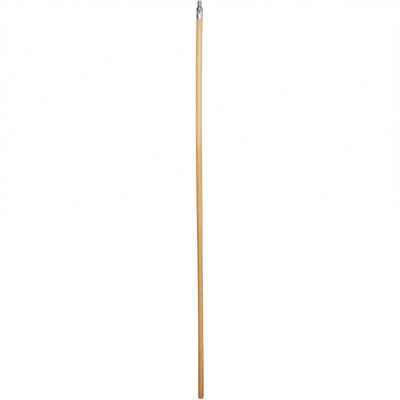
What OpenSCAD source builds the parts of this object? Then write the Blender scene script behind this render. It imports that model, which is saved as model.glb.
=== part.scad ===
// Wooden roller extension pole with a metal screw tip.
// Frame: origin on the axis of the screw thread, at the lower end of its crest. +Z runs out of the
// threaded end, and the pole hangs below. Its grip end leans towards +X. Lengths are measured from the
// shoulder, where the tip's flange sits on the ferrule.

/* [Pole] */
// Length from the top of the thread to the rounded end
overall_l = 1524; // [1219:1:1830]
// Diameter of the wood below the ferrule
pole_d = 23.8; // [22:0.1:26]
// Diameter of the slimmer grip length
grip_d = 20.6; // [18:0.1:23.8]
// Diameter of the hand end, into which the grip length swells again
end_d = 22.4; // [20:0.1:24]
// Distance from the shoulder to where the wood starts to slim
slim_start = 620; // [400:5:640]
// Length over which it slims
slim_l = 380; // [200:5:400]
// Radius of the rounding at the lower end
end_round = 8; // [2:0.5:8.5]

/* [Natural bow of the wood] */
// Lean of the wood at its steepest, in degrees
bow_angle = 1.45; // [0:0.05:2.5]
// Distance from the shoulder to the steepest lean
bow_reach = 910; // [700:10:1200]
// Distance from the shoulder to where the wood starts to bow
bow_start = 75; // [70:1:120]

/* [Ferrule] */
// Length of the ferrule's skirt
ferrule_l = 43; // [36:0.5:56]
// Thickness of its sheet
ferrule_t = 1; // [0.6:0.1:1.5]
// Rounding of its top edge
ferrule_round = 1.6; // [1.2:0.1:2.5]

/* [Threaded tip] */
// Height of the tip above the shoulder
tip_h = 27.6; // [24:0.1:32]
// Major diameter of the thread
thread_d = 19.05; // [17:0.05:20]
// Pitch of the thread
thread_pitch = 5.08; // [3:0.01:6]
// Half turns of thread, each from one parting line to the other
thread_half_turns = 7; // [3:1:7]
// Diameter of the collar below the thread
collar_d = 18.6; // [16:0.1:19]
// Height of the collar
collar_h = 2.8; // [1:0.1:4]
// Diameter of the neck below the collar
neck_d = 15.6; // [12:0.1:17]
// Height of the neck
neck_h = 1.6; // [1:0.1:3]
// Diameter of the flange on the ferrule
flange_d = 19.6; // [18:0.1:20]
// Height of the flange
flange_h = 1; // [0.6:0.1:1.5]

/* [Rivet] */
// Distance of the rivet below the shoulder
rivet_drop = 17.5; // [12:0.5:24]
// Turn of the rivet about the pole, in degrees from -Y towards -X
rivet_turn = 15; // [0:1:90]
// Diameter of the rivet's shank
rivet_d = 3.2; // [2.4:0.1:3.6]
// Diameter of its head
head_d = 5.2; // [4.8:0.1:5.8]
// Radius of the hollow of the pressed dish around the head
dish_r = 11; // [10:0.5:12]
// Depth of the dish below the ferrule's surface
dish_depth = 2.9; // [2.2:0.1:3.1]

/* [Hidden] */
$fn = 96;

pole_r = pole_d / 2;
grip_r = grip_d / 2;
end_r = end_d / 2;
gap = 0.05;                       // clearance between pieces that slide together
beyond = 5;                       // how far a cutting shape runs past what it cuts

// Tenon: the turned end of the wood, inside the ferrule
tenon_r = pole_r - ferrule_t - gap;
tenon_top = 5.5;                  // room below the end wall for the washer and the staked tail
tenon_chamfer = 1;

// Threaded tip
thread_r = thread_d / 2;
thread_depth = thread_pitch / 2 + 0.25;
root_r = thread_r - thread_depth;
flank = tan(14.5);                // half of the thread's 29 degree angle
crest_w = 0.3707 * thread_pitch;
ridge_w = crest_w + 2 * thread_depth * flank;
collar_top = flange_h + neck_h + collar_h;
ridge_gap = 0.15;                 // between the collar and the foot of the ridge
thread_start = collar_top + ridge_gap + ridge_w / 2;
parting_turn = 18;                // half of the turn that each parting-line flat takes from the crest
parting_flat = thread_r * cos(parting_turn);
shoulder_z = crest_w / 2 - thread_start - thread_pitch * parting_turn / 360;  // its height in the frame
step_angle = 7.5;                 // turn between two sections of the ridge
spigot_r = 4.9;
tail_r = 6.4;
tail_h = 1.8;
washer_t = 1.2;
washer_r = 8;
centre_d = 3.5;

// Rivet
shank_r = rivet_d / 2;
hole_r = shank_r + gap;
head_r = head_d / 2;
head_h = 1;
tail_head_r = head_r - 0.2;
tail_head_h = 0.8;
dish_at = pole_r - dish_depth + dish_r;  // distance of the dish's centre from the pole's axis
seat_at = dish_at - sqrt(pow(dish_r, 2) - pow(head_r, 2)) + 0.02;  // the same, of the head's underside

// Shaft: straight stretches, each turned a little from the one above
shaft_l = overall_l - tip_h;
upper_n = 9;                      // stretches from the start of the bow to the slimming one
upper_step = (slim_start - bow_start) / upper_n;
slim_end = slim_start + slim_l;
grip_start = (slim_end + shaft_l) / 2;
swell_share = 0.6;                // share of the lowest stretch over which the wood swells
land = 8;                         // plain cylinder where a slimming or a swell begins or ends
ball_proud = 0.03;                // how far a ball between two stretches stands proud of them
into_ball = 0.5;                  // how far a stretch runs past the ball's centre

// Distances from the shoulder to the joints between stretches
joints = concat(
  [ferrule_l],
  [for (i = [0 : upper_n]) bow_start + i * upper_step],
  [slim_end, grip_start, shaft_l]);
stretch_n = len(joints) - 1;

// Lean of the wood at a distance from the shoulder
function lean_at(s) = s < bow_start ? 0
  : bow_angle * (1 - pow(1 - (s - bow_start) / (bow_reach - bow_start), 2));
function stretch_lean(i) = lean_at((joints[i] + joints[i + 1]) / 2);

// Lathe-turned body, from its outline in radius and height
module turned(outline) {
  rotate_extrude() polygon(outline);
}

// Puts its children, drawn with the shoulder at zero height, in the frame
module from_shoulder() {
  translate([0, 0, shoulder_z]) children();
}

// Wood of stretch i, hanging below the origin and running a little into the balls at its ends. The last
// three stretches are the slimming one, the upper half of the slim length and the grip end.
module stretch_wood(i, l) {
  top = i == 0 ? 0 : into_ball;
  if (i < stretch_n - 3) {
    translate([0, 0, -l - into_ball]) cylinder(r = pole_r, h = top + l + into_ball);
  } else if (i == stretch_n - 3) {
    turned([[0, top], [pole_r, top], [pole_r, -land], [grip_r, land - l],
            [grip_r, -l - into_ball], [0, -l - into_ball]]);
  } else if (i == stretch_n - 2) {
    translate([0, 0, -l - into_ball]) cylinder(r = grip_r, h = top + l + into_ball);
  } else {
    grip_end(top, l);
  }
}

// Lowest stretch: it swells, then runs straight to its rounded end
module grip_end(top, l) {
  rotate_extrude() difference() {
    polygon([[0, top], [grip_r, top], [grip_r, -land], [end_r, -swell_share * l], [end_r, -l], [0, -l]]);
    translate([end_r - end_round, -l]) difference() {
      translate([0, -1]) square([end_round + 1, end_round + 1]);
      translate([0, end_round]) circle(r = end_round);
    }
  }
}

// Stretch i and everything below it, with a ball of wood where each stretch turns into the next
module stretches_from(i) {
  l = joints[i + 1] - joints[i];
  stretch_wood(i, l);
  if (i < stretch_n - 1) {
    translate([0, 0, -l]) rotate([0, stretch_lean(i) - stretch_lean(i + 1), 0]) {
      sphere(r = (i < stretch_n - 3 ? pole_r : grip_r) + ball_proud);
      stretches_from(i + 1);
    }
  }
}

// Puts its children on the rivet's line: local +Z runs from the pole's axis out through the head
module on_rivet_line() {
  translate([0, 0, -rivet_drop]) rotate([0, 0, -rivet_turn]) rotate([90, 0, 0]) children();
}

// The same, once for the head's side and once for the tail's side
module on_both_seats() {
  on_rivet_line() {
    children();
    rotate([0, 180, 0]) children();
  }
}

module rivet_hole() {
  on_rivet_line() cylinder(r = hole_r, h = 4 * pole_r, center = true);
}

// The two balls whose outsides shape the dishes, enlarged by the wall that lies behind
module dish_balls(wall) {
  on_both_seats() translate([0, 0, dish_at]) sphere(r = dish_r + wall);
}

// Turned hardwood dowel with a tenon for the ferrule and a rounded lower end
module pole_shaft() {
  color("burlywood") from_shoulder() difference() {
    union() {
      turned([[0, -tenon_top], [tenon_r - tenon_chamfer, -tenon_top], [tenon_r, -tenon_top - tenon_chamfer],
              [tenon_r, -ferrule_l - beyond], [0, -ferrule_l - beyond]]);
      translate([0, 0, -ferrule_l]) stretches_from(0);
    }
    rivet_hole();
    dish_balls(ferrule_t + gap);
  }
}

// Drawn metal cup over the tenon, flush with the wood, with two pressed dishes for the rivet
module ferrule() {
  inner_r = pole_r - ferrule_t;
  color("silver") from_shoulder() difference() {
    union() {
      rotate_extrude() difference() {
        cup_outline(pole_r, 0, ferrule_round);
        cup_outline(inner_r, ferrule_t, ferrule_round - ferrule_t);
        translate([-1, -ferrule_l - 1]) square([1, ferrule_l + 2]);
      }
      intersection() {
        dish_balls(ferrule_t);
        translate([0, 0, -ferrule_l]) cylinder(r = pole_r, h = ferrule_l);
      }
    }
    dish_balls(0);
    rivet_hole();
    translate([0, 0, -beyond]) cylinder(r = spigot_r + gap, h = 2 * beyond);
  }
}

// Half of a cup's outline, down from a top edge that is rounded
module cup_outline(r, drop, round_r) {
  bottom = -ferrule_l - (drop > 0 ? 1 : 0);
  difference() {
    translate([0, bottom]) square([r, -drop - bottom]);
    translate([r - round_r, -drop - round_r]) difference() {
      square([round_r + 1, round_r + 1]);
      circle(r = round_r);
    }
  }
}

// Helical ridge of the thread, with flanks that run on inside the root and outside the crest
module thread_ridge() {
  low_r = root_r - 0.4;
  high_r = thread_r + 0.6;
  steps = round(thread_half_turns * 180 / step_angle);
  function half_w(r) = crest_w / 2 + (thread_r - r) * flank;
  function corner(k, r, side) = let (a = k * step_angle)
    [r * cos(a), r * sin(a), thread_start + thread_pitch * a / 360 + side * half_w(r)];
  points = [for (k = [0 : steps]) each
    [corner(k, low_r, -1), corner(k, high_r, -1), corner(k, high_r, 1), corner(k, low_r, 1)]];
  sides = [for (k = [0 : steps - 1]) for (j = [0 : 3])
    [4 * k + j, 4 * k + (j + 1) % 4, 4 * k + 4 + (j + 1) % 4, 4 * k + 4 + j]];
  first = [[3, 2, 1, 0]];
  last = [[4 * steps, 4 * steps + 1, 4 * steps + 2, 4 * steps + 3]];
  polyhedron(points, concat(first, sides, last), convexity = 10);
}

// Screw tip: thread, collar, neck and flange, with a spigot staked over inside the ferrule
module threaded_tip() {
  nose = 0.6;
  staked = -ferrule_t - washer_t;
  color("gainsboro") from_shoulder() difference() {
    union() {
      turned([[0, staked - tail_h], [tail_r - 0.6, staked - tail_h], [tail_r, staked - tail_h + 0.6],
              [tail_r, staked], [spigot_r, staked], [spigot_r, 0],
              [flange_d / 2, 0], [flange_d / 2, flange_h],
              [neck_d / 2, flange_h], [neck_d / 2, flange_h + neck_h],
              [collar_d / 2, flange_h + neck_h], [collar_d / 2, collar_top - 0.4],
              [collar_d / 2 - 0.4, collar_top], [root_r, collar_top],
              [root_r, tip_h - nose], [root_r - nose, tip_h], [0, tip_h]]);
      intersection() {
        thread_ridge();
        translate([0, 0, collar_top]) cylinder(r = thread_r, h = tip_h);
        translate([-parting_flat, -thread_d, 0]) cube([2 * parting_flat, 2 * thread_d, 2 * tip_h]);
      }
    }
    centre_r = centre_d / 2;
    translate([0, 0, tip_h - centre_r]) cylinder(r1 = 0, r2 = centre_r + 0.5, h = centre_r + 0.5);
  }
}

// Washer between the ferrule's end wall and the staked tail
module staking_washer() {
  color("darkgray") from_shoulder() translate([0, 0, -ferrule_t - washer_t]) difference() {
    cylinder(r = washer_r, h = washer_t);
    translate([0, 0, -1]) cylinder(r = spigot_r + gap, h = washer_t + 2);
  }
}

// Domed button with a flat underside, from its radius and height
module domed_head(r, h) {
  dome_r = (r * r + h * h) / (2 * h);
  rotate_extrude() intersection() {
    translate([0, h - dome_r]) circle(r = dome_r);
    square([r + 1, h + 1]);
  }
}

// Rivet through ferrule and tenon, domed in front and peened behind
module cross_rivet() {
  color("whitesmoke") from_shoulder() on_rivet_line() {
    cylinder(r = shank_r, h = 2 * seat_at, center = true);
    translate([0, 0, seat_at]) domed_head(head_r, head_h);
    rotate([0, 180, 0]) translate([0, 0, seat_at]) domed_head(tail_head_r, tail_head_h);
  }
}

pole_shaft();
ferrule();
threaded_tip();
staking_washer();
cross_rivet();
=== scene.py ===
"""Visual model of a roller extension pole: lacquered wooden dowel, plated ferrule, cast tip and rivet.

Sizes are in millimetres, as in the CAD source, and become metres where a mesh is made. In outlines and
shapes, z is the height above the shoulder, where the tip's flange sits on the ferrule, and s is the
distance below it. Materials use object coordinates, in metres in the part's frame.
"""
import math

import bmesh
import bpy
from mathutils import Matrix, Vector


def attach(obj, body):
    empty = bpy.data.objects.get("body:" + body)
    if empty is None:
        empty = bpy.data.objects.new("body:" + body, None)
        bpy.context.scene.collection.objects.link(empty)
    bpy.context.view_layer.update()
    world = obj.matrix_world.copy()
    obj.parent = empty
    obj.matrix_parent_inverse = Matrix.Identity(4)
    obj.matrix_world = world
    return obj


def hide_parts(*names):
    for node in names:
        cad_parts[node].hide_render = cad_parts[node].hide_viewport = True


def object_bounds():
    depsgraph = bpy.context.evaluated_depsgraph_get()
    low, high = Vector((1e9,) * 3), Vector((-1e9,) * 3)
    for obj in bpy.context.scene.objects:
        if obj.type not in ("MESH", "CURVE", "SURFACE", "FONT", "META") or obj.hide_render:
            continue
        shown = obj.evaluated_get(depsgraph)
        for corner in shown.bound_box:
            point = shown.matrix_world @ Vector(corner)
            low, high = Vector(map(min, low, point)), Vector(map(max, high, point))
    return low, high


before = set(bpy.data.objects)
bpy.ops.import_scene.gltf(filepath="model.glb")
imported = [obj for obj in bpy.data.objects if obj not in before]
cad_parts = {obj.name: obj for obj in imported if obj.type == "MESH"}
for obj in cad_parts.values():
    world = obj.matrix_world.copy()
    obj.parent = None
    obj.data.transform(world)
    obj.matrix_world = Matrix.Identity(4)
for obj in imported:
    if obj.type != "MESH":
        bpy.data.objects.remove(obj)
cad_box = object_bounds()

MM = 0.001

# ---------------------------------------------------------------- sizes, repeated from the CAD source

OVERALL_L = 1524.0
POLE_R = 23.8 / 2
GRIP_R = 20.6 / 2
END_R = 22.4 / 2
SLIM_START = 620.0
SLIM_L = 380.0
END_ROUND = 8.0
GAP = 0.05

BOW_ANGLE = math.radians(1.45)
BOW_REACH = 910.0
BOW_START = 75.0

FERRULE_L = 43.0
FERRULE_T = 1.0
FERRULE_ROUND = 1.6
TENON_R = POLE_R - FERRULE_T - GAP
TENON_TOP = 5.5

TIP_H = 27.6
THREAD_R = 19.05 / 2
PITCH = 5.08
HALF_TURNS = 7
COLLAR_R = 18.6 / 2
COLLAR_H = 2.8
NECK_R = 15.6 / 2
NECK_H = 1.6
FLANGE_R = 19.6 / 2
FLANGE_H = 1.0
THREAD_DEPTH = PITCH / 2 + 0.25
ROOT_R = THREAD_R - THREAD_DEPTH
FLANK = math.tan(math.radians(14.5))
CREST_W = 0.3707 * PITCH
RIDGE_W = CREST_W + 2 * THREAD_DEPTH * FLANK
RIDGE_GAP = 0.15
COLLAR_TOP = FLANGE_H + NECK_H + COLLAR_H
THREAD_START = COLLAR_TOP + RIDGE_GAP + RIDGE_W / 2
PARTING_TURN = 18.0
PARTING_FLAT = THREAD_R * math.cos(math.radians(PARTING_TURN))
SHOULDER_Z = CREST_W / 2 - THREAD_START - PITCH * PARTING_TURN / 360
SPIGOT_R = 4.9
TAIL_R = 6.4
TAIL_H = 1.8
WASHER_T = 1.2
CENTRE_R = 3.5 / 2

RIVET_DROP = 17.5
RIVET_TURN = math.radians(15)
SHANK_R = 3.2 / 2
HEAD_R = 5.2 / 2
HEAD_H = 1.0
TAIL_HEAD_R = HEAD_R - 0.2
TAIL_HEAD_H = 0.8
DISH_R = 11.0
DISH_DEPTH = 2.9
DISH_AT = POLE_R - DISH_DEPTH + DISH_R
SEAT_AT = DISH_AT - math.sqrt(DISH_R ** 2 - HEAD_R ** 2) + 0.02

SHAFT_L = OVERALL_L - TIP_H
SLIM_END = SLIM_START + SLIM_L
SWELL_SHARE = 0.6
SWELL_START = (SLIM_END + SHAFT_L) / 2
SWELL_END = SWELL_START + SWELL_SHARE * (SHAFT_L - SWELL_START)

FROM_SHOULDER = Matrix.Translation((0, 0, SHOULDER_Z))
RIVET_LINE = (
    FROM_SHOULDER
    @ Matrix.Translation((0, 0, -RIVET_DROP))
    @ Matrix.Rotation(-RIVET_TURN, 4, "Z")
    @ Matrix.Rotation(math.pi / 2, 4, "X")
)


# ---------------------------------------------------------------- outlines

def rounded(corners, steps=5):
    """Outline of (radius, height) points from corners of (radius, height, rounding)."""
    most = 0.48                   # share of a side that one corner's rounding may take
    outline = []
    for i, (r, z, rounding) in enumerate(corners):
        here = Vector((r, z))
        if rounding == 0 or i in (0, len(corners) - 1):
            outline.append((r, z))
            continue
        back = Vector(corners[i - 1][:2]) - here
        ahead = Vector(corners[i + 1][:2]) - here
        turn = math.pi - back.angle(ahead)
        cut = min(rounding * math.tan(turn / 2), most * back.length, most * ahead.length)
        start, end = here + cut * back.normalized(), here + cut * ahead.normalized()
        for k in range(steps + 1):
            t = k / steps
            outline.append(tuple((1 - t) ** 2 * start + 2 * t * (1 - t) * here + t * t * end))
    return outline


def with_rings(outline, spacing):
    """The outline with points added so that no stretch is much longer than spacing(height)."""
    shortest = 0.25               # share of the spacing below which a rest joins the stretch before it
    full = [outline[0]]
    for (r0, z0), (r1, z1) in zip(outline, outline[1:]):
        length = math.hypot(r1 - r0, z1 - z0)
        done = 0.0
        while done < length:
            z = z0 + (z1 - z0) * done / length
            done = min(length, done + spacing(z))
            if length - done < shortest * spacing(z):
                done = length
            full.append((r0 + (r1 - r0) * done / length, z0 + (z1 - z0) * done / length))
    return full


def ball(radius, height):
    """Outline of a ball about a point on the axis."""
    steps = 32
    angles = [math.pi * (k / steps - 0.5) for k in range(steps + 1)]
    outline = [(radius * math.cos(a), height + radius * math.sin(a)) for a in angles]
    outline[0], outline[-1] = (0, height - radius), (0, height + radius)
    return outline


def smooth_step(low, high, x):
    """Smooth rise from 0 where x is low to 1 where it is high."""
    t = min(1.0, max(0.0, (x - low) / (high - low)))
    return t * t * (3 - 2 * t)


# ---------------------------------------------------------------- meshes

def loops_to_mesh(name, loops, place, closed=False, capped=False, shape=None):
    """Mesh through a list of point loops, each of the same length or a single point, in millimetres.

    closed joins the last loop to the first, and capped fills both of them. shape may move each point.
    """
    bm = bmesh.new()
    rows = [[bm.verts.new(shape(p) if shape else p) for p in loop] for loop in loops]
    pairs = list(zip(rows, rows[1:]))
    if closed:
        pairs.append((rows[-1], rows[0]))
    for one, two in pairs:
        n = max(len(one), len(two))
        for k in range(n):
            a, b = one[k % len(one)], one[(k + 1) % len(one)]
            c, d = two[(k + 1) % len(two)], two[k % len(two)]
            # A loop that is a single point gives one vertex twice, and it is used once
            corners = [v for i, v in enumerate((a, b, c, d)) if v not in (a, b, c, d)[:i]]
            bm.faces.new(corners)
    if capped:
        bm.faces.new(rows[0])
        bm.faces.new(rows[-1])
    bmesh.ops.recalc_face_normals(bm, faces=bm.faces)
    bmesh.ops.transform(bm, matrix=Matrix.Scale(MM, 4) @ place, verts=bm.verts)
    mesh = bpy.data.meshes.new(name)
    bm.to_mesh(mesh)
    bm.free()
    obj = bpy.data.objects.new(name, mesh)
    bpy.context.scene.collection.objects.link(obj)
    return obj


def lathe(name, outline, place, segments, closed=False, shape=None):
    """Turned body about local Z, from its outline of (radius, height) points."""
    angles = [2 * math.pi * k / segments for k in range(segments)]
    on_axis = 1e-6
    loops = [
        [(0, 0, z)] if r < on_axis else [(r * math.cos(a), r * math.sin(a), z) for a in angles]
        for r, z in outline
    ]
    return loops_to_mesh(name, loops, place, closed=closed, shape=shape)


def bake_modifiers(obj):
    """Replaces the object's mesh with the result of its modifiers."""
    graph = bpy.context.evaluated_depsgraph_get()
    mesh = bpy.data.meshes.new_from_object(obj.evaluated_get(graph))
    obj.modifiers.clear()
    old = obj.data
    obj.data = mesh
    mesh.name = obj.name
    bpy.data.meshes.remove(old)


def combine(obj, others, operation):
    """Exact union or difference with other closed meshes, which are used up."""
    for other in others:
        modifier = obj.modifiers.new(operation, "BOOLEAN")
        modifier.operation = operation
        modifier.solver = "EXACT"
        modifier.object = other
    bake_modifiers(obj)
    for other in others:
        mesh = other.data
        bpy.data.objects.remove(other)
        bpy.data.meshes.remove(mesh)


def rivet_hole():
    """Cutting shape for the rivet's hole, right through the pole."""
    r, reach = SHANK_R + GAP, 20
    return lathe("hole", [(0, -reach), (r, -reach), (r, reach), (0, reach)], RIVET_LINE, 48)


def finish_surface(obj, sharp_degrees):
    """Smooth shading, with flat faces kept flat beside their rounded edges."""
    obj.data.shade_smooth()
    obj.data.set_sharp_from_angle(angle=math.radians(sharp_degrees))
    modifier = obj.modifiers.new("flat_faces", "WEIGHTED_NORMAL")
    modifier.keep_sharp = True
    modifier.weight = 60


# ---------------------------------------------------------------- wooden shaft

def wood_centre(s):
    """(across, down) place of the wood's centre at a distance below the shoulder, along its natural bow."""
    if s < BOW_START:
        return 0.0, s
    w = BOW_REACH - BOW_START
    u = (s - BOW_START) / w
    across = BOW_ANGLE * w * (u ** 2 - u ** 3 / 3)
    shortening = BOW_ANGLE ** 2 * w / 2 * (4 * u ** 3 / 3 - u ** 4 + u ** 5 / 5)
    return across, s - shortening


def wood_lean(s):
    """Lean of the wood at a distance below the shoulder."""
    if s < BOW_START:
        return 0.0
    return BOW_ANGLE * (1 - (1 - (s - BOW_START) / (BOW_REACH - BOW_START)) ** 2)


def follow_bow(point):
    """Moves a point of a straight, even shaft onto the bowed one, which slims and swells."""
    x, y, z = point
    s = -z
    girth = 1 - (1 - GRIP_R / POLE_R) * smooth_step(SLIM_START, SLIM_END, s)
    girth += (END_R - GRIP_R) / POLE_R * smooth_step(SWELL_START, SWELL_END, s)
    across, down = wood_centre(s)
    lean = wood_lean(s)
    return (
        across + girth * x * math.cos(lean),
        girth * y,
        -down + girth * x * math.sin(lean),
    )


def wood_end():
    """Outline points of the rounded lower end, widened because follow_bow slims them again."""
    steps = 16
    points = []
    for k in range(steps + 1):
        turn = math.pi / 2 * k / steps
        r = END_R - END_ROUND * (1 - math.cos(turn))
        points.append((r * POLE_R / END_R, END_ROUND * (1 - math.sin(turn)) - SHAFT_L))
    return [*points, (0, -SHAFT_L)]


def make_shaft():
    corners = [
        (0, -TENON_TOP, 0),
        (TENON_R, -TENON_TOP, 1.2),
        (TENON_R, -FERRULE_L - GAP, 0),
        (POLE_R, -FERRULE_L - GAP, 0.25),
        (POLE_R, -SHAFT_L / 2, 0),
    ]
    near_end = 12
    outline = rounded(corners, 10) + wood_end()
    outline = with_rings(outline, lambda z: 6.0 if z > near_end - SHAFT_L else 1.5)
    shaft = lathe("pole_shaft_wood", outline, FROM_SHOULDER, 96, shape=follow_bow)
    relief_r = DISH_R + FERRULE_T + GAP
    reliefs = [lathe("relief", ball(relief_r, side * DISH_AT), RIVET_LINE, 96) for side in (1, -1)]
    combine(shaft, [rivet_hole(), *reliefs], "DIFFERENCE")
    finish_surface(shaft, 32)
    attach(shaft, "root")
    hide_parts("pole_shaft")
    return shaft


# ---------------------------------------------------------------- ferrule

def press_dishes(point, wall):
    """Presses a point of the wall inwards onto a dish with a soft rim, at each end of the rivet's line."""
    rim_round = 0.35
    x, y, z = point
    out = Vector((-math.sin(RIVET_TURN), -math.cos(RIVET_TURN)))
    along = Vector((x, y)).dot(out)
    across = Vector((x, y)).dot(Vector((out.y, -out.x)))
    reach = math.hypot(across, z + RIVET_DROP)
    ball_r = DISH_R + wall
    if reach >= ball_r:
        return point
    dish = DISH_AT - math.sqrt(ball_r ** 2 - reach ** 2)
    blend = max(0.0, rim_round - abs(abs(along) - dish)) / rim_round
    moved = min(abs(along), dish) - rim_round * blend ** 2 / 4
    shift = math.copysign(moved, along) - along
    return (x + shift * out.x, y + shift * out.y, z)


def make_ferrule():
    inner_r = POLE_R - FERRULE_T
    outer = rounded([
        (SPIGOT_R + GAP, 0, 0),
        (POLE_R, 0, FERRULE_ROUND),
        (POLE_R, -FERRULE_L, 0.35),
        (POLE_R - FERRULE_T / 2, -FERRULE_L, 0),
    ], 8)
    inner = rounded([
        (POLE_R - FERRULE_T / 2, -FERRULE_L, 0),
        (inner_r, -FERRULE_L, 0.3),
        (inner_r, -FERRULE_T, FERRULE_ROUND - FERRULE_T),
        (SPIGOT_R + GAP, -FERRULE_T, 0),
    ], 5)

    def wall_spacing(z):
        near_dish = 9.5
        return 0.3 if abs(z + RIVET_DROP) < near_dish else 1.5

    outline = with_rings(outer, wall_spacing) + with_rings(inner, wall_spacing)[1:]

    def shape(point):
        wall = math.hypot(point[0], point[1])
        return press_dishes(point, 0 if wall > POLE_R - FERRULE_T / 2 else FERRULE_T)

    ferrule = lathe("ferrule_cup", outline, FROM_SHOULDER, 240, closed=True, shape=shape)
    combine(ferrule, [rivet_hole()], "DIFFERENCE")
    finish_surface(ferrule, 40)
    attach(ferrule, "root")
    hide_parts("ferrule")
    return ferrule


# ---------------------------------------------------------------- threaded tip

def parting_seam(point):
    """Raises a fine casting seam along the two parting lines, at +X and -X."""
    x, y, z = point
    r = math.hypot(x, y)
    if r < NECK_R - 0.5 or z < 0.3 or z > COLLAR_TOP - 0.2:
        return point
    seam_h, seam_degrees = 0.07, 1.6
    off = math.degrees(math.asin(min(1.0, abs(y) / r)))
    grow = 1 + seam_h * math.exp(-((off / seam_degrees) ** 2)) / r
    return (x * grow, y * grow, z)


def make_ridge():
    """Helical ridge of the thread, faded into the core at both ends."""
    foot_r = ROOT_R - 0.4

    def half_w(r):
        return CREST_W / 2 + (THREAD_R - r) * FLANK

    half = rounded([
        (foot_r, half_w(ROOT_R) + 0.55, 0),
        (ROOT_R - 0.02, half_w(ROOT_R) + 0.5, 0),
        (ROOT_R, half_w(ROOT_R), 0.45),
        (THREAD_R, half_w(THREAD_R), 0.3),
        (THREAD_R, 0, 0),
    ], 4)
    profile = [(r, -dz) for r, dz in half] + [(r, dz) for r, dz in reversed(half[:-1])]
    step = 3
    lead = 12
    last = HALF_TURNS * 180 + lead
    loops = []
    for degrees in range(-lead, last + 1, step):
        a = math.radians(degrees)
        fade = smooth_step(-lead, 54, degrees) * (1 - smooth_step(last - 66, last, degrees))
        flat = PARTING_FLAT / max(0.2, abs(math.cos(a)))
        loop = []
        for r, dz in profile:
            r = foot_r + (min(r, flat) - foot_r) * fade
            loop.append((r * math.cos(a), r * math.sin(a), THREAD_START + PITCH * degrees / 360 + dz))
        loops.append(loop)
    return loops_to_mesh("ridge", loops, FROM_SHOULDER, capped=True)


def make_tip():
    staked = -FERRULE_T - WASHER_T
    corners = [
        (0, staked - TAIL_H, 0),
        (TAIL_R, staked - TAIL_H, 0.8),
        (TAIL_R, staked, 0.15),
        (SPIGOT_R, staked, 0),
        (SPIGOT_R, 0, 0),
        (FLANGE_R, 0, 0.2),
        (FLANGE_R, FLANGE_H, 0.35),
        (NECK_R, FLANGE_H, 0.35),
        (NECK_R, FLANGE_H + NECK_H, 0.25),
        (COLLAR_R, FLANGE_H + NECK_H, 0.4),
        (COLLAR_R, COLLAR_TOP, 0.5),
        (ROOT_R, COLLAR_TOP, 0.3),
        (ROOT_R, TIP_H, 0.7),
        (CENTRE_R, TIP_H, 0.25),
        (0, TIP_H - CENTRE_R, 0),
    ]
    outline = with_rings(rounded(corners, 5), lambda z: 0.6 if z > COLLAR_TOP else 1.5)
    tip = lathe("threaded_tip_cast", outline, FROM_SHOULDER, 240, shape=parting_seam)
    combine(tip, [make_ridge()], "UNION")
    finish_surface(tip, 40)
    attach(tip, "root")
    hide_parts("threaded_tip")
    return tip


# ---------------------------------------------------------------- rivet

def dome(r, h, rim, side):
    """Outline of a head with an upright rim and a dome, from its seat on that side to its centre."""
    steps = 12
    rise = h - rim
    dome_r = (r * r + rise * rise) / (2 * rise)
    spread = math.asin(r / dome_r)
    points = []
    for k in range(steps + 1):
        a = spread * (1 - k / steps)
        points.append((dome_r * math.sin(a), side * (SEAT_AT + h - dome_r * (1 - math.cos(a)))))
    return [(r, side * SEAT_AT)] + points


def make_rivet():
    head = dome(HEAD_R, HEAD_H, 0.25, 1)
    tail = dome(TAIL_HEAD_R, TAIL_HEAD_H, 0.2, -1)
    dimple_r, dimple_depth = 0.9, 0.3
    tail = [(r, z + dimple_depth * (1 - smooth_step(0, dimple_r, r))) for r, z in tail]
    outline = tail[::-1] + [(SHANK_R, -SEAT_AT), (SHANK_R, SEAT_AT)] + head
    rivet = lathe("rivet", outline, RIVET_LINE, 64)
    finish_surface(rivet, 50)
    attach(rivet, "root")
    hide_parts("cross_rivet")
    return rivet


# ---------------------------------------------------------------- node helpers

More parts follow.
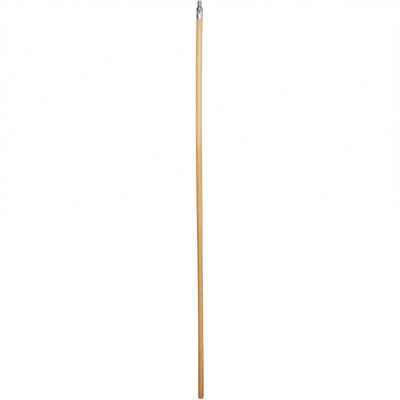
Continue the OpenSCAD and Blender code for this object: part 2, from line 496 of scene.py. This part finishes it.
class Shader:
    """A node material under construction. Inputs are given as numbers, colours or other nodes' outputs."""

    def __init__(self, name):
        self.material = bpy.data.materials.new(name)
        self.material.use_nodes = True
        self.tree = self.material.node_tree
        self.surface = self.tree.nodes["Principled BSDF"]
        self.place = self.add("ShaderNodeTexCoord").outputs["Object"]

    def add(self, kind, inputs=None, **settings):
        node = self.tree.nodes.new(kind)
        for key, value in settings.items():
            setattr(node, key, value)
        for key, value in (inputs or {}).items():
            self.put(node.inputs[key], value)
        return node

    def put(self, socket, value):
        if isinstance(value, bpy.types.NodeSocket):
            self.tree.links.new(value, socket)
        else:
            socket.default_value = value

    def set(self, **inputs):
        """Sets inputs of the surface shader. An underscore stands for a space."""
        for key, value in inputs.items():
            self.put(self.surface.inputs[key.replace("_", " ")], value)

    def vector(self, operation, a, b):
        """Result of an operation on two vectors that gives a vector."""
        return self.add("ShaderNodeVectorMath", {0: a, 1: b}, operation=operation).outputs[0]

    def length(self, vector):
        return self.add("ShaderNodeVectorMath", {0: vector}, operation="LENGTH").outputs["Value"]

    def from_axis(self, place):
        """Distance from the Z axis."""
        return self.length(self.vector("MULTIPLY", place, (1, 1, 0)))

    def split(self, vector):
        return self.add("ShaderNodeSeparateXYZ", {0: vector}).outputs

    def noise(self, x, y, z, detail=3.0, roughness=0.55, distortion=0.0):
        """Noise of x, y and z cells per metre along each axis."""
        inputs = {
            "Vector": self.vector("MULTIPLY", self.place, (x, y, z)),
            "Scale": 1.0,
            "Detail": detail,
            "Roughness": roughness,
            "Distortion": distortion,
        }
        return self.add("ShaderNodeTexNoise", inputs).outputs["Fac"]

    def math(self, operation, a, b=0.0, c=0.0):
        return self.add("ShaderNodeMath", {0: a, 1: b, 2: c}, operation=operation).outputs[0]

    def remap(self, value, low, high, to_low=0.0, to_high=1.0, smooth=False):
        """Value between low and high, turned into one between to_low and to_high."""
        inputs = {"Value": value, "From Min": low, "From Max": high, "To Min": to_low, "To Max": to_high}
        kind = "SMOOTHSTEP" if smooth else "LINEAR"
        return self.add("ShaderNodeMapRange", inputs, interpolation_type=kind).outputs[0]

    def ramp(self, value, stops):
        """Colour ramp from (position, colour) stops."""
        node = self.add("ShaderNodeValToRGB", {"Fac": value})
        elements = node.color_ramp.elements
        while len(elements) < len(stops):
            elements.new(0.5)
        for element, (position, colour) in zip(elements, stops):
            element.position = position
            element.color = (*colour, 1)
        return node.outputs["Color"]

    def mix(self, factor, a, b, blend="MIX"):
        node = self.add("ShaderNodeMix", data_type="RGBA", blend_type=blend)
        for socket, value in ((node.inputs[0], factor), (node.inputs[6], a), (node.inputs[7], b)):
            if isinstance(value, tuple) and len(value) == 3:
                value = (*value, 1)
            self.put(socket, value)
        return node.outputs[2]

    def bump(self, height, distance, strength, normal=None):
        inputs = {"Height": height, "Distance": distance, "Strength": strength}
        if normal is not None:
            inputs["Normal"] = normal
        return self.add("ShaderNodeBump", inputs).outputs["Normal"]


# ---------------------------------------------------------------- materials

def straightened(m):
    """Object coordinates of the wood with its bow taken out, so that the grain follows the bow."""
    x, y, z = m.split(m.place)
    w = (BOW_REACH - BOW_START) * MM
    u = m.math("MULTIPLY_ADD", z, -1 / w, (SHOULDER_Z - BOW_START) * MM / w)
    u = m.math("MAXIMUM", u, 0.0)
    across = m.math("MULTIPLY_ADD", u, -BOW_ANGLE * w / 3, BOW_ANGLE * w)
    across = m.math("MULTIPLY", m.math("MULTIPLY", u, u), across)
    return m.add("ShaderNodeCombineXYZ", {0: m.math("SUBTRACT", x, across), 1: y, 2: z}).outputs[0]


def wood_side(m, clouds):
    """Place across the wood, from about -1 at its -X side to 1 at its +X side, with a wandering middle."""
    x, _, z = m.split(m.place)
    slim_from, slim_to = (SHOULDER_Z - SLIM_START) * MM, (SHOULDER_Z - SLIM_END) * MM
    radius = m.remap(z, slim_from, slim_to, POLE_R * MM, GRIP_R * MM, smooth=True)
    wander = m.math("SUBTRACT", clouds, 0.5)
    return m.math("MULTIPLY_ADD", wander, 0.25, m.math("DIVIDE", x, radius))


def lacquered_wood():
    """Pale golden hardwood that turns warmer and darker towards the grip, under a clear satin lacquer."""
    m = Shader("lacquered_wood")
    m.place = straightened(m)
    z = m.split(m.place)[2]
    top, end = (SHOULDER_Z - FERRULE_L) * MM, (SHOULDER_Z - SHAFT_L) * MM

    # Tone along the pole, from the ferrule to the hand end
    drift = m.noise(22, 22, 2.2, detail=2)
    along = m.remap(z, top, end)
    along = m.math("ADD", along, m.math("MULTIPLY", m.math("SUBTRACT", drift, 0.5), 0.10))
    tone = m.ramp(along, [
        (0.00, (0.730, 0.515, 0.270)),
        (0.08, (0.790, 0.580, 0.320)),
        (0.29, (0.755, 0.545, 0.295)),
        (0.34, (0.685, 0.435, 0.198)),
        (0.49, (0.675, 0.420, 0.190)),
        (0.55, (0.600, 0.352, 0.110)),
        (0.85, (0.560, 0.292, 0.074)),
        (1.00, (0.520, 0.212, 0.030)),
    ])

    # Growth rings round a pith behind the dowel, wandering slowly along it: wide on the front and back, and
    # close together on the two sides
    pith = Vector((-6, 62, 0)) * MM
    reach = m.from_axis(m.vector("SUBTRACT", m.place, pith))
    wander = m.noise(28, 28, 3.0, detail=3)
    rings_per_metre = 420
    rings = m.math("MULTIPLY_ADD", reach, rings_per_metre, m.math("MULTIPLY", wander, 3.2))
    wave = m.math("SINE", m.math("MULTIPLY", rings, 2 * math.pi))
    latewood = m.remap(wave, -0.1, 1.0, smooth=True)

    fibres = m.noise(1500, 1500, 16, detail=4, roughness=0.6)
    streaks = m.noise(260, 260, 5, detail=3)
    pores = m.remap(m.noise(2600, 2600, 95, detail=1), 0.66, 0.74, smooth=True)
    clouds = m.noise(60, 60, 14, detail=3)

    colour = m.mix(m.math("MULTIPLY", latewood, 0.42), tone, (0.80, 0.64, 0.44), "MULTIPLY")
    colour = m.mix(m.remap(fibres, 0.35, 0.75, 0.0, 0.5), colour, (0.80, 0.70, 0.56), "MULTIPLY")
    colour = m.mix(m.remap(streaks, 0.3, 0.7, 0.0, 0.45), colour, (0.86, 0.76, 0.62), "MULTIPLY")
    colour = m.mix(m.remap(clouds, 0.35, 0.75, 0.0, 0.4), colour, (1.16, 1.12, 1.05), "MULTIPLY")
    colour = m.mix(m.math("MULTIPLY", pores, 0.55), colour, (0.52, 0.38, 0.25), "MULTIPLY")

    # Painted shade along the dowel's -X side in a browner tone, and along its +X side in a darker one; both
    # grow stronger towards the grip
    side = wood_side(m, clouds)
    left_side_shade = m.remap(side, -0.12, -0.62, smooth=True)
    left_side_shade = m.math("MULTIPLY", left_side_shade, m.remap(along, 0.30, 0.62, 0.10, 1.0))
    colour = m.mix(left_side_shade, colour, (0.61, 0.62, 0.66), "MULTIPLY")
    # Painted shade along the +X side, strongest at the grip end
    right_side_shade = m.remap(side, 0.05, 0.70, smooth=True)
    right_side_shade = m.math("MULTIPLY", right_side_shade, m.remap(along, 0.88, 1.0, 0.35, 1.0))
    colour = m.mix(right_side_shade, colour, (0.57, 0.54, 0.40), "MULTIPLY")

    # Soaked-in, handled darkness at the lower end, and a thin painted shadow line on the wood just below
    # the ferrule
    scuff = m.noise(240, 240, 150, detail=4)
    foot = m.remap(z, end + 10 * MM, end - 2 * MM, smooth=True)
    foot = m.math("MULTIPLY", foot, m.remap(scuff, 0.3, 0.7, 0.45, 1.0))
    colour = m.mix(m.math("MULTIPLY", foot, 0.55), colour, (0.62, 0.48, 0.36), "MULTIPLY")
    # Painted shadow line where the wood meets the ferrule's edge
    rim = m.remap(z, top - 1.6 * MM, top - 0.1 * MM, smooth=True)
    colour = m.mix(m.math("MULTIPLY", rim, 0.6), colour, (0.55, 0.45, 0.36), "MULTIPLY")

    # Satin lacquer over open pores, raised rings and fine chatter marks from the lathe
    gloss = m.remap(m.noise(90, 90, 30, detail=4), 0.3, 0.7, 0.36, 0.50)
    gloss = m.math("ADD", gloss, m.math("MULTIPLY", pores, 0.2))
    gloss = m.math("ADD", gloss, m.math("MULTIPLY", foot, 0.12))
    chatter_pitch = 1.7 * MM
    chatter = m.math("SINE", m.math("MULTIPLY", z, 2 * math.pi / chatter_pitch))
    normal = m.bump(fibres, 0.00009, 0.5)
    normal = m.bump(m.math("SUBTRACT", 1.0, pores), 0.00010, 0.7, normal)
    normal = m.bump(latewood, 0.00005, 0.6, normal)
    normal = m.bump(chatter, 0.000004, 0.6, normal)
    m.set(Base_Color=colour, Roughness=gloss, Normal=normal)
    m.set(Coat_Weight=0.2, Coat_Roughness=0.18, Coat_IOR=1.5, Specular_IOR_Level=0.3)
    return m.material


def painted_recess_shade(m):
    """Mask of painted shade in the dishes, under the tip's flange and at the skirt's lower edge."""
    z = m.split(m.place)[2]
    turn = RIVET_LINE.to_3x3()
    rivet_way = turn @ Vector((0, 0, 1))
    shaded_way = turn @ Vector((0.92, 0.38, 0))  # across the dish, from its lit side to its side with painted shade
    offset = m.vector("SUBTRACT", m.place, RIVET_LINE.translation * MM)
    from_rivet = m.length(m.vector("CROSS_PRODUCT", offset, rivet_way))
    inputs = {0: offset, 1: shaded_way}
    along_shade = m.add("ShaderNodeVectorMath", inputs, operation="DOT_PRODUCT").outputs["Value"]

    in_dish = m.remap(m.from_axis(m.place), POLE_R * MM, (POLE_R - 0.25) * MM, smooth=True)
    off_head = m.remap(from_rivet, (HEAD_R - 0.3) * MM, (HEAD_R + 0.1) * MM, smooth=True)
    # Painted shade on the dish's upper and right walls, and in a ring round the rivet's head
    recess_shade = m.remap(along_shade, -5.2 * MM, -1.8 * MM, smooth=True)
    recess_shade = m.math("MAXIMUM", recess_shade, m.remap(from_rivet, 4.0 * MM, 2.8 * MM, smooth=True))
    recess_shade = m.math("MULTIPLY", recess_shade, in_dish)
    recess_shade = m.math("MULTIPLY", recess_shade, off_head)

    # Painted shade under the tip's flange, and a painted shadow line at the skirt's lower edge
    skirt_z = SHOULDER_Z - FERRULE_L
    under_flange = m.remap(z, (SHOULDER_Z - 1.6) * MM, (SHOULDER_Z - 0.2) * MM, smooth=True)
    at_skirt = m.remap(z, (skirt_z + 0.7) * MM, skirt_z * MM, smooth=True)
    recess_shade = m.math("MAXIMUM", recess_shade, m.math("MAXIMUM", under_flange, at_skirt))
    shade_breakup = m.noise(420, 420, 420, detail=4)
    return m.math("MULTIPLY", recess_shade, m.remap(shade_breakup, 0.3, 0.65, 0.78, 0.96))


def painted_dark_patch(m):
    """Mask of a painted dark reflection, a patch above the rivet and to the right of it."""
    place = Vector((3.2, -11.4, SHOULDER_Z - 9.0)) * MM
    offset = m.vector("SUBTRACT", m.place, place)
    reach = m.length(m.vector("MULTIPLY", offset, (1.25, 1.25, 0.7)))
    return m.remap(reach, 6.8 * MM, 2.6 * MM, smooth=True)


def drawn_metal(name, bright, dull, lines=1.0):
    """Bright plated metal with dull patches, painted dark reflections near its top, painted shade in its
    recesses, light scratches and fine lines along the draw.

    lines is the strength of those lines.
    """
    m = Shader(name)
    z = m.split(m.place)[2]
    recess_shade = painted_recess_shade(m)
    draw = m.noise(3200, 3200, 60, detail=3)
    smudge = m.noise(150, 150, 90, detail=4)
    scratch = m.noise(700, 700, 5200, detail=2, distortion=0.6)
    scratch = m.remap(scratch, 0.66, 0.70, smooth=True)
    uneven = m.remap(smudge, 0.3, 0.6, 0.6, 1.0)
    # Painted dark reflection over the ferrule's top, fading out between 9 and 18 mm below the shoulder
    painted_dark_top = m.remap(z, (SHOULDER_Z - 18) * MM, (SHOULDER_Z - 9) * MM, smooth=True)

    colour = m.mix(m.remap(smudge, 0.35, 0.7), bright, dull)
    colour = m.mix(m.remap(draw, 0.4, 0.8, 0.0, 0.35), colour, dull)
    # Painted dark reflection near the top of the ferrule
    colour = m.mix(m.math("MULTIPLY", painted_dark_top, uneven), colour, (0.70, 0.69, 0.67), "MULTIPLY")
    # Painted dark reflection: a patch above the rivet and to its right
    colour = m.mix(m.math("MULTIPLY", painted_dark_patch(m), uneven), colour, (0.56, 0.55, 0.53), "MULTIPLY")
    # Painted shade in the dishes, under the tip's flange and at the skirt's lower edge
    colour = m.mix(recess_shade, colour, (0.085, 0.080, 0.070))

    rough = m.remap(smudge, 0.3, 0.7, 0.16, 0.30)
    rough = m.math("MULTIPLY_ADD", m.remap(draw, 0.35, 0.75), 0.08, rough)
    rough = m.math("MULTIPLY_ADD", scratch, 0.10, rough)
    rough = m.math("MULTIPLY_ADD", recess_shade, 0.05, rough)
    normal = m.bump(draw, 0.000012, 0.6 * lines)
    normal = m.bump(scratch, 0.000008, 0.5, normal)
    m.set(Base_Color=colour, Roughness=rough, Normal=normal, Metallic=1.0)
    return m.material


def cast_metal():
    """Plated casting with a pebbled skin: bright on the thread's crests, with painted shade in its roots
    and below the thread.
    """
    m = Shader("cast_tip")
    reach = m.from_axis(m.place)
    z = m.split(m.place)[2]
    collar_z = SHOULDER_Z + COLLAR_TOP
    in_thread = m.remap(z, (collar_z - 0.3) * MM, (collar_z + 0.3) * MM)
    # Painted shade on the collar, neck and flange, under the thread
    below = m.remap(z, collar_z * MM, (collar_z - 1.6) * MM)
    root = m.remap(reach, (THREAD_R - 0.7) * MM, (ROOT_R + 0.2) * MM, smooth=True)
    root = m.math("MULTIPLY", root, in_thread)
    crest = m.remap(reach, (THREAD_R - 0.5) * MM, THREAD_R * MM, smooth=True)
    crest = m.math("MULTIPLY", crest, in_thread)
    pebbles = m.noise(1400, 1400, 1400, detail=3)
    patches = m.noise(260, 260, 260, detail=4)
    pits = m.remap(m.noise(900, 900, 900, detail=1), 0.70, 0.76, smooth=True)
    # Painted shade in the thread's roots
    root_shade = m.math("MULTIPLY", root, m.remap(patches, 0.3, 0.7, 0.75, 1.0))

    colour = m.mix(m.remap(patches, 0.35, 0.7), (0.61, 0.60, 0.57), (0.50, 0.49, 0.46))
    colour = m.mix(m.math("MULTIPLY", root_shade, 0.6), colour, (0.17, 0.16, 0.145))
    # Painted shade below the thread
    colour = m.mix(below, colour, m.mix(patches, (0.30, 0.29, 0.27), (0.22, 0.21, 0.195)))
    colour = m.mix(m.math("MULTIPLY", crest, 0.5), colour, (0.72, 0.71, 0.68))
    colour = m.mix(m.math("MULTIPLY", pits, 0.5), colour, (0.25, 0.24, 0.22))

    rough = m.remap(patches, 0.3, 0.7, 0.20, 0.32)
    rough = m.math("MULTIPLY_ADD", root_shade, 0.18, rough)
    rough = m.math("MULTIPLY_ADD", crest, -0.10, rough)
    rough = m.math("MULTIPLY_ADD", below, -0.13, rough)
    normal = m.bump(pebbles, 0.00003, 0.6)
    normal = m.bump(m.math("SUBTRACT", 1.0, pits), 0.00005, 0.6, normal)
    m.set(Base_Color=colour, Roughness=rough, Normal=normal, Metallic=1.0)
    return m.material


def plain_steel():
    """Blanked washer steel with a dull rolled face and faint patches of rust."""
    m = Shader("washer_steel")
    rolled = m.noise(2400, 160, 160, detail=3)
    bloom = m.noise(320, 320, 320, detail=5)
    colour = m.mix(m.remap(rolled, 0.3, 0.7), (0.50, 0.50, 0.50), (0.40, 0.40, 0.41))
    colour = m.mix(m.remap(bloom, 0.58, 0.78, 0.0, 0.5), colour, (0.30, 0.19, 0.12))
    rough = m.remap(bloom, 0.3, 0.7, 0.38, 0.58)
    normal = m.bump(rolled, 0.000015, 0.6)
    m.set(Base_Color=colour, Roughness=rough, Normal=normal, Metallic=1.0)
    return m.material


def paint(obj, material):
    obj.data.materials.clear()
    obj.data.materials.append(material)


# ---------------------------------------------------------------- stage

def flat_sheet(name, reach, material):
    """Level square sheet about the origin, with its edges that far from it."""
    bm = bmesh.new()
    bmesh.ops.create_grid(bm, x_segments=8, y_segments=8, size=reach)
    mesh = bpy.data.meshes.new(name)
    bm.to_mesh(mesh)
    bm.free()
    mesh.materials.append(material)
    sheet = bpy.data.objects.new(name, mesh)
    bpy.context.scene.collection.objects.link(sheet)
    return sheet


def make_floor(height):
    """Wide pale floor under the pole."""
    m = Shader("pale_floor")
    speckle = m.noise(40, 40, 40, detail=4)
    m.set(Base_Color=m.mix(speckle, (0.93, 0.93, 0.93), (0.90, 0.90, 0.90)))
    m.set(Normal=m.bump(speckle, 0.0004, 0.1), Roughness=0.8)
    reach = 60
    floor = flat_sheet("floor", reach, m.material)
    floor.location = (0, 0, height)


def make_card(name, place, facing, size, shade):
    """Dark studio card for the pole to reflect. The camera doesn't see it, and it casts no shadow."""
    m = Shader(name)
    m.set(Base_Color=(shade, shade, shade, 1), Roughness=0.9)
    half = 0.5
    card = flat_sheet(name, half, m.material)
    card.location = place
    card.scale = (size[0], size[1], 1)
    card.rotation_euler = (Vector(facing) - Vector(place)).to_track_quat("Z", "Y").to_euler()
    card.visible_camera = False
    card.visible_shadow = False


def make_softbox(name, place, facing, size, glow):
    """Rectangular light, from the brightness of its face, where 1 is white in the picture."""
    light = bpy.data.lights.new(name, "AREA")
    light.shape = "RECTANGLE"
    light.size, light.size_y = size
    light.energy = glow * math.pi * size[0] * size[1]
    obj = bpy.data.objects.new(name, light)
    obj.location = place
    obj.rotation_euler = (Vector(facing) - Vector(place)).to_track_quat("-Z", "Y").to_euler()
    obj.visible_camera = False
    bpy.context.scene.collection.objects.link(obj)


def make_sun(strength, spread_degrees):
    """Broad light from straight above, for the floor and the upper faces."""
    light = bpy.data.lights.new("overhead", "SUN")
    light.energy = strength
    light.angle = math.radians(spread_degrees)
    obj = bpy.data.objects.new("overhead", light)
    bpy.context.scene.collection.objects.link(obj)


def make_world(shade, backdrop):
    """Even grey light all round, which the camera sees as a white backdrop."""
    world = bpy.data.worlds.new("studio")
    world.use_nodes = True
    world.cycles.sampling_method = "NONE"
    bpy.context.scene.world = world
    nodes, links = world.node_tree.nodes, world.node_tree.links
    rays = nodes.new("ShaderNodeLightPath")
    level = nodes.new("ShaderNodeMapRange")
    level.inputs["To Min"].default_value = shade
    level.inputs["To Max"].default_value = backdrop
    links.new(rays.outputs["Is Camera Ray"], level.inputs["Value"])
    links.new(level.outputs[0], nodes["Background"].inputs["Strength"])
    nodes["Background"].inputs["Color"].default_value = (1, 1, 1, 1)


def make_camera():
    """Level camera in front of the pole, turned a little about its line of sight."""
    distance = 6.0                # metres
    picture_h = 1.5324            # metres across the whole picture, at the pole
    roll = math.radians(0.82)
    aim_s = 736.0                 # millimetres below the shoulder
    aim_side = 2.3                # millimetres to the right of the wood's centre
    across, down = wood_centre(aim_s)
    right = Vector((math.cos(roll), 0, math.sin(roll)))
    up = Vector((-math.sin(roll), 0, math.cos(roll)))
    aim = (Vector((across, 0, SHOULDER_Z - down)) + aim_side * right) * MM
    data = bpy.data.cameras.new("camera")
    data.sensor_width = 36
    data.lens = data.sensor_width * distance / picture_h
    camera = bpy.data.objects.new("camera", data)
    back = right.cross(up)
    turn = Matrix((right, up, back)).transposed().to_4x4()
    camera.matrix_world = Matrix.Translation(aim + distance * back) @ turn
    bpy.context.scene.collection.objects.link(camera)
    bpy.context.scene.camera = camera


# ---------------------------------------------------------------- the scene

make_camera()

paint(make_shaft(), lacquered_wood())
paint(make_ferrule(), drawn_metal("plated_ferrule", (0.74, 0.73, 0.70), (0.63, 0.62, 0.59)))
paint(make_tip(), cast_metal())
paint(make_rivet(), drawn_metal("rivet_steel", (0.72, 0.71, 0.68), (0.60, 0.59, 0.56), lines=0.4))

washer_faces = plain_steel()
for material_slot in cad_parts["staking_washer"].material_slots:
    material_slot.material = washer_faces

low, high = cad_box
middle = (low + high) / 2
make_floor(low.z)
make_world(shade=0.45, backdrop=1.0)
make_sun(strength=2.4, spread_degrees=50)
lamp_z, card_z = middle.z + 0.25, middle.z + 0.3
make_softbox("key_light", (-0.25, -2.2, lamp_z), middle, size=(1.0, 2.4), glow=2.1)
make_softbox("fill_light", (1.9, -1.5, lamp_z), middle, size=(1.9, 2.4), glow=0.95)
make_card("left_flag", (-0.6, -0.03, card_z), middle, size=(0.68, 1.7), shade=0.035)
make_card("back_flag", (0.45, 0.55, card_z), middle, size=(0.55, 1.7), shade=0.10)

bpy.context.scene.view_settings.view_transform = "Standard"
